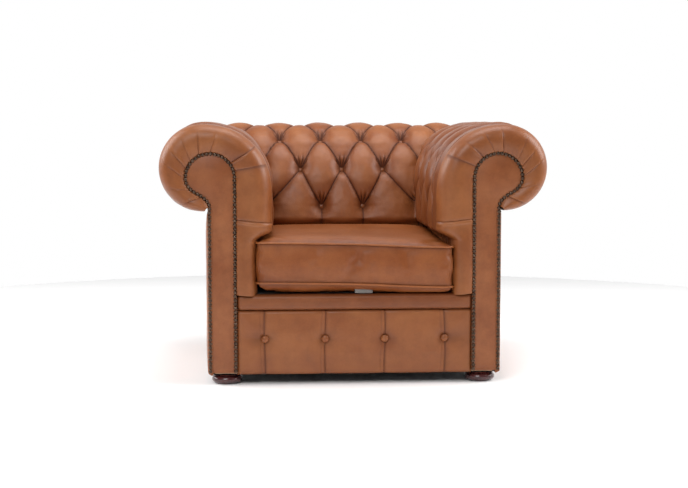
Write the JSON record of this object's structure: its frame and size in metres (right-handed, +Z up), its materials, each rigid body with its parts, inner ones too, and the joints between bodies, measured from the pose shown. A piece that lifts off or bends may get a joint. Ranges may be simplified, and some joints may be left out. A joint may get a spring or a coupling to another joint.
{
  "type": "upholstered armchair",
  "caption": "Low club armchair with rolled arms and back of equal height, button-tufted leather, loose seat cushion, nail-trimmed scroll facings and bun feet.",
  "frame": {"origin": "on the floor, under the middle of the whole chair's bounding box", "axes": "+Z up, the chair faces -Y, +X towards the arm on the right of a viewer who faces the chair"},
  "size_m": [1.05, 0.88, 0.702],
  "materials": {
    "tan_leather": "satin",
    "button_leather": "satin",
    "piping_leather": "satin",
    "foam": "matte",
    "beech": "matte",
    "mahogany_feet": "gloss",
    "antique_brass": "satin",
    "zip_metal": "satin",
    "zip_tape": "matte",
    "pale_tape": "matte",
    "black_cloth": "matte",
    "spring_steel": "satin"
  },
  "bodies": {
    "root": {"apron_button_1": "button_leather", "apron_button_2": "button_leather", "apron_button_3": "button_leather", "apron_button_4": "button_leather", "arm_cover_left": "tan_leather", "arm_cover_right": "tan_leather", "arm_facing_left": "tan_leather", "arm_facing_right": "tan_leather", "arm_front_border_left": "tan_leather", "arm_front_border_right": "tan_leather", "arm_outside_panel_left": "tan_leather", "arm_outside_panel_right": "tan_leather", "arm_pad_left": "foam", "arm_pad_right": "foam", "arm_post_left": "beech", "arm_post_right": "beech", "arm_tacking_rail_left": "beech", "arm_tacking_rail_right": "beech", "arm_top_rail_left": "beech", "arm_top_rail_right": "beech", "back_cover": "tan_leather", "back_outside_panel": "tan_leather", "back_pad": "foam", "back_post_left": "beech", "back_post_right": "beech", "back_tacking_rail": "beech", "back_top_rail": "beech", "corner_block_front_left": "beech", "corner_block_front_right": "beech", "corner_block_rear_left": "beech", "corner_block_rear_right": "beech", "dust_cover": "black_cloth", "foot_front_left": "mahogany_feet", "foot_front_right": "mahogany_feet", "foot_rear_left": "mahogany_feet", "foot_rear_right": "mahogany_feet", "front_apron": "tan_leather", "nail_trim_left": "antique_brass", "nail_trim_right": "antique_brass", "seat_deck": "black_cloth", "seat_front_band": "tan_leather", "seat_rail_front": "beech", "seat_rail_left": "beech", "seat_rail_rear": "beech", "seat_rail_right": "beech", "seat_spring_1": "spring_steel", "seat_spring_2": "spring_steel", "seat_spring_3": "spring_steel", "seat_spring_4": "spring_steel", "seat_spring_5": "spring_steel"},
    "cushion": {"cushion_cover": "tan_leather", "cushion_core": "foam", "cushion_piping_top": "piping_leather", "cushion_piping_bottom": "piping_leather", "cushion_zip": "zip_tape", "cushion_tab": "pale_tape"},
    "slider": {"zip_slider": "zip_metal"}
  },
  "joints": [
    {"name": "cushion_slide", "type": "slide", "parent": "root", "child": "cushion", "axis": [0, -1, 0], "range_m": [0, 0.62]},
    {"name": "zip_slide", "type": "slide", "parent": "cushion", "child": "slider", "axis": [-1, 0, 0], "range_m": [0, 0.4]}
  ]
}
